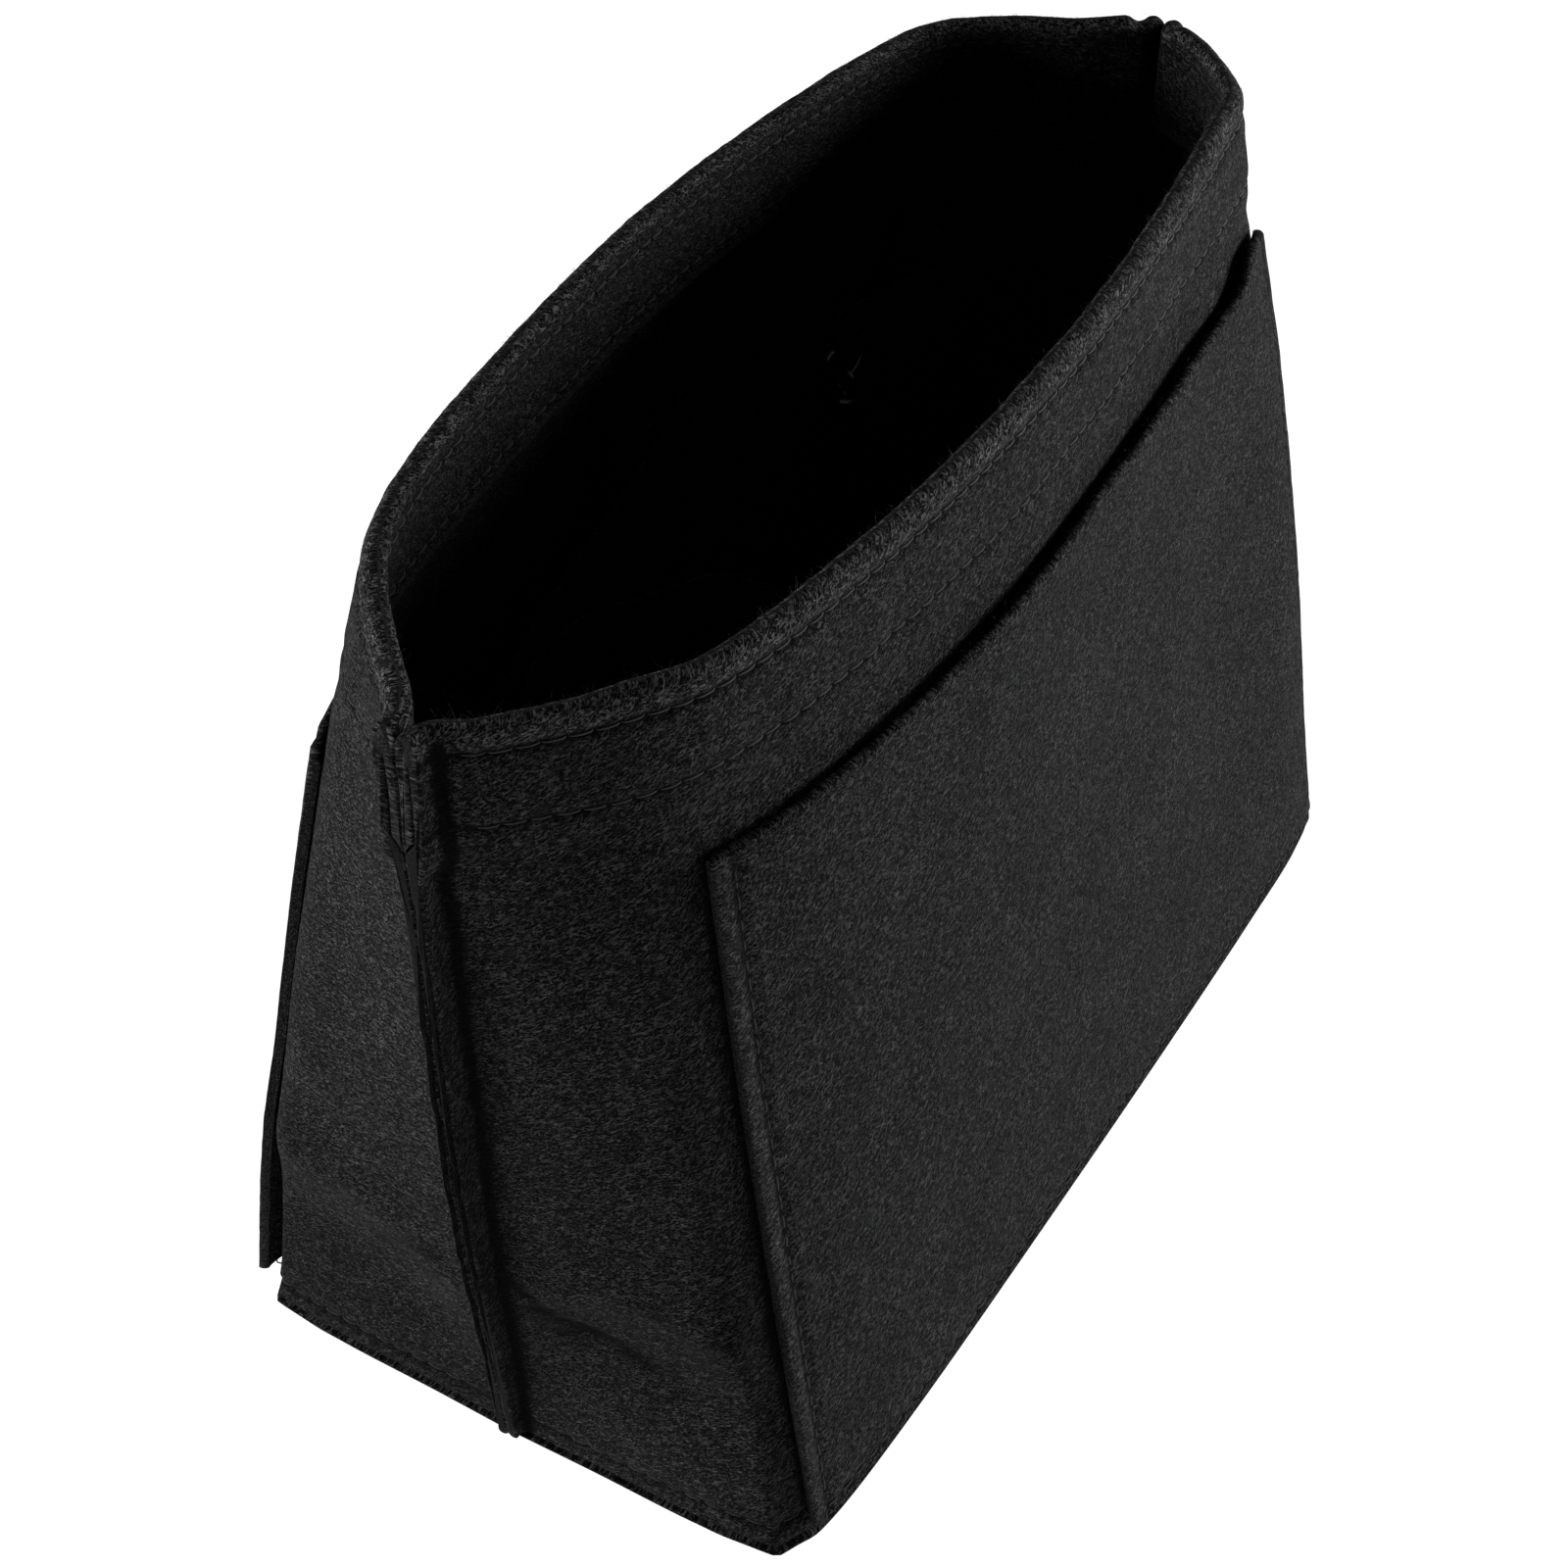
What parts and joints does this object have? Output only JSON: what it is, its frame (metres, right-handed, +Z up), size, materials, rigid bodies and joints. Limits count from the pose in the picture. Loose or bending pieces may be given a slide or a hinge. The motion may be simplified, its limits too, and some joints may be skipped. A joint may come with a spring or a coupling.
{
  "type": "purse organizer insert",
  "caption": "Open-topped charcoal felt insert for a handbag, with a rectangular base, lens-shaped rim, outer slip pockets, pleated inner pockets and a swivel key clip.",
  "frame": {"origin": "middle of the underside, on the surface the insert stands on", "axes": "+X along the length towards the far end seam, +Y across the width towards the rear wall, +Z up"},
  "size_m": [0.2622, 0.1306, 0.18],
  "materials": {
    "felt": "matt charcoal needle felt",
    "thread": "black polyester thread with a slight sheen",
    "clip_steel": "bright nickel plating"
  },
  "bodies": {
    "insert": {"front_wall": "felt", "rear_wall": "felt", "base_panel": "felt", "front_outer_pocket": "felt", "rear_outer_pocket": "felt", "rear_inner_pockets": "felt", "front_inner_pockets": "felt", "key_tab": "felt", "front_rim_thread": "thread", "front_hem_thread": "thread", "front_base_thread": "thread", "front_pocket_near_thread": "thread", "front_pocket_far_thread": "thread", "near_seam_needle_thread": "thread", "far_seam_needle_thread": "thread", "rear_rim_thread": "thread", "rear_hem_thread": "thread", "rear_base_thread": "thread", "rear_pocket_near_thread": "thread", "rear_pocket_far_thread": "thread", "near_seam_bobbin_thread": "thread", "far_seam_bobbin_thread": "thread", "rear_strip_near_thread": "thread", "rear_strip_middle_thread": "thread", "rear_strip_far_thread": "thread", "front_strip_near_thread": "thread", "front_strip_second_thread": "thread", "front_strip_third_thread": "thread", "front_strip_far_thread": "thread", "rear_bar_tack": "thread", "key_tab_thread": "thread"},
    "d_ring": {"d_ring": "clip_steel"},
    "swivel_eye": {"swivel_eye": "clip_steel"},
    "snap_hook": {"snap_hook": "clip_steel", "gate_pin": "clip_steel", "gate_spring": "clip_steel"},
    "hook_gate": {"hook_gate": "clip_steel"}
  },
  "joints": [
    {"name": "d_ring_swing", "type": "hinge", "parent": "insert", "child": "d_ring", "pos_m": [0.04986, 0.02793, 0.1356], "axis": [-0.9774, 0.2116, 0], "range_deg": [0, 110]},
    {"name": "eye_swing", "type": "hinge", "parent": "d_ring", "child": "swivel_eye", "pos_m": [0.04986, 0.02793, 0.128], "axis": [-0.9774, 0.2116, 0], "range_deg": [0, 80]},
    {"name": "hook_swivel", "type": "hinge", "parent": "swivel_eye", "child": "snap_hook", "pos_m": [0.04986, 0.02793, 0.1206], "axis": [0, 0, 1], "continuous": true},
    {"name": "gate_opening", "type": "hinge", "parent": "snap_hook", "child": "hook_gate", "pos_m": [0.05269, 0.02732, 0.11535], "axis": [0.2116, 0.9774, 0], "range_deg": [0, 22], "stiffness_Nm_per_rad": 0.003, "springref_deg": -20.05, "deforming": ["gate_spring"]}
  ]
}
